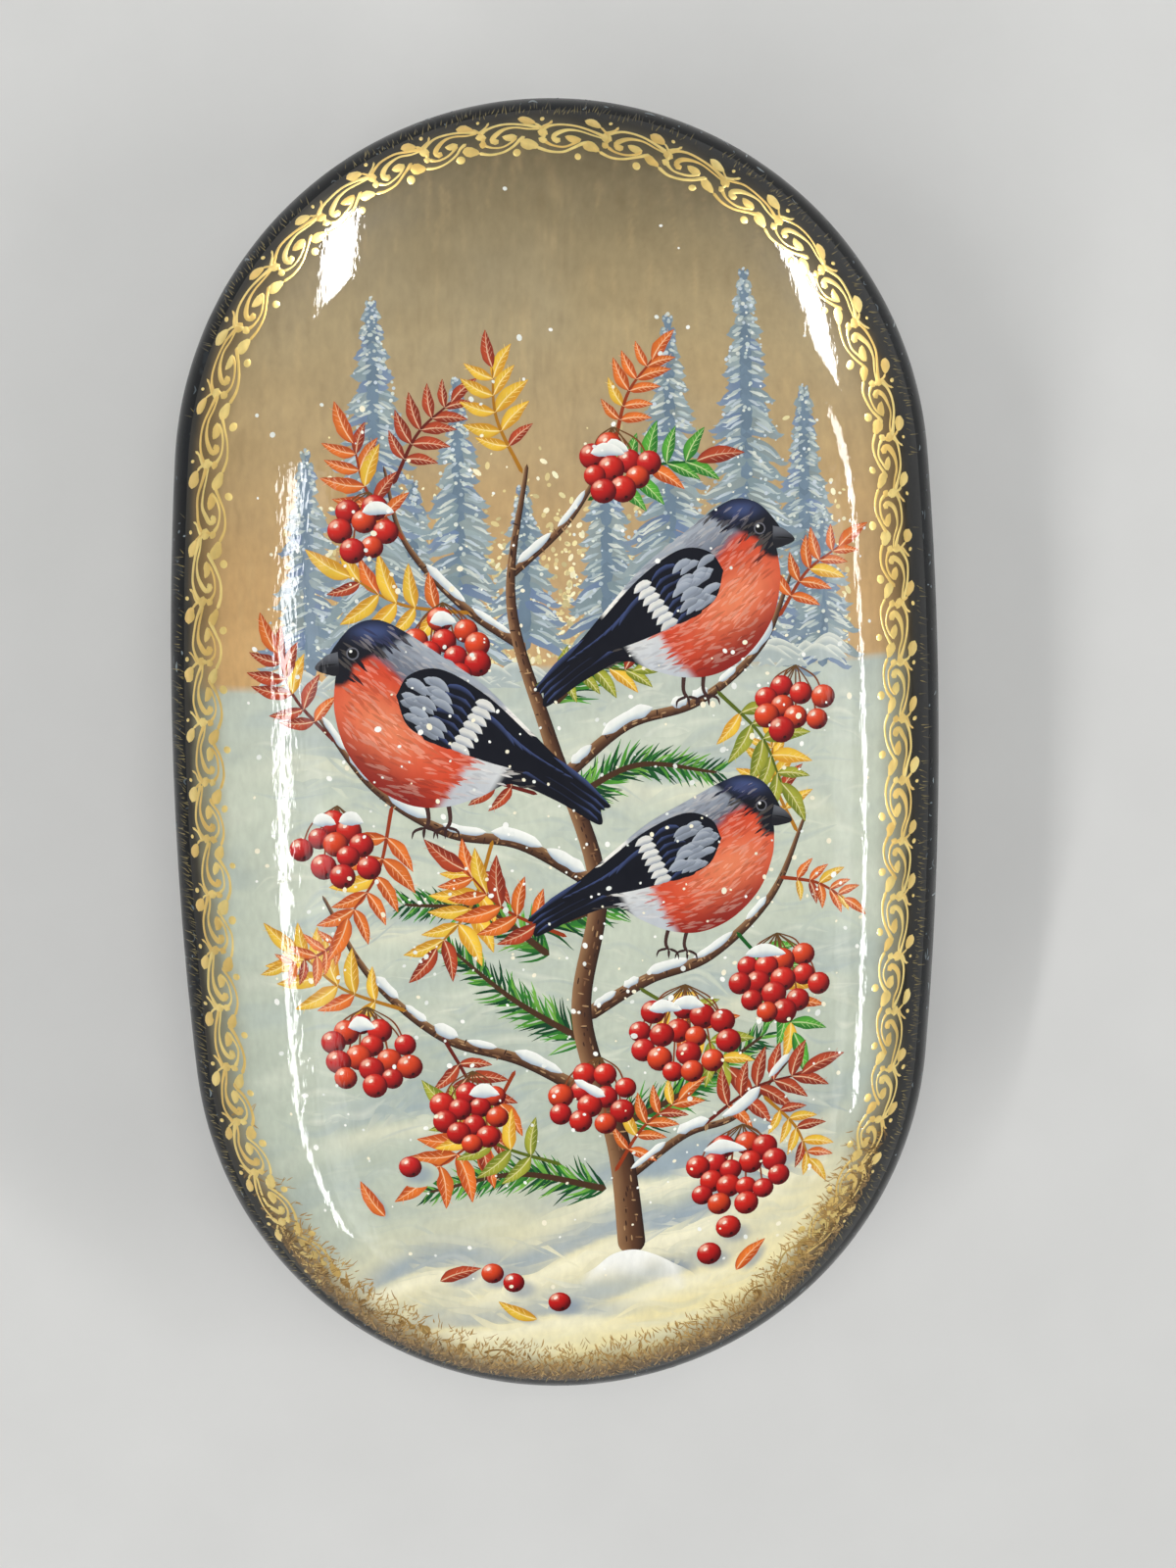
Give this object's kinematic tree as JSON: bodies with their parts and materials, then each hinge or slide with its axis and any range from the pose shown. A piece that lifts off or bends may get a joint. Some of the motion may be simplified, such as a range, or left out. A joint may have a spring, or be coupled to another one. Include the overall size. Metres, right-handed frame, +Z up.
{
  "type": "lacquer box",
  "caption": "Papier-mache lacquer box with rounded ends and a domed, painted lid that turns on a flush dowel hinge; holds small keepsakes.",
  "frame": {"origin": "centre of the footprint, on the surface that the box stands on", "axes": "+Z up out of the lid, +Y along the length towards the top of the lid's picture, and the hinge on the side at -X"},
  "size_m": [0.089, 0.15, 0.0424],
  "materials": {
    "outer_lacquer": "gloss",
    "inner_lacquer": "gloss",
    "painted_lacquer": "gloss",
    "dowel_wood": "satin",
    "hinge_wire": "polished"
  },
  "bodies": {
    "base": {"base_wall": "outer_lacquer", "base_floor": "inner_lacquer", "base_lip": "inner_lacquer", "base_knuckle_1": "dowel_wood", "base_knuckle_2": "dowel_wood", "base_knuckle_3": "dowel_wood", "base_knuckle_4": "dowel_wood", "hinge_pin": "hinge_wire", "pin_plug_front": "dowel_wood", "pin_plug_back": "dowel_wood"},
    "lid": {"lid_rim": "outer_lacquer", "lid_panel": "painted_lacquer", "lid_knuckle_1": "dowel_wood", "lid_knuckle_2": "dowel_wood", "lid_knuckle_3": "dowel_wood"}
  },
  "joints": [
    {"name": "lid_hinge", "type": "hinge", "parent": "base", "child": "lid", "pos_m": [-0.043, 0, 0.02505], "axis": [0, -1, 0], "range_deg": [0, 100]}
  ]
}
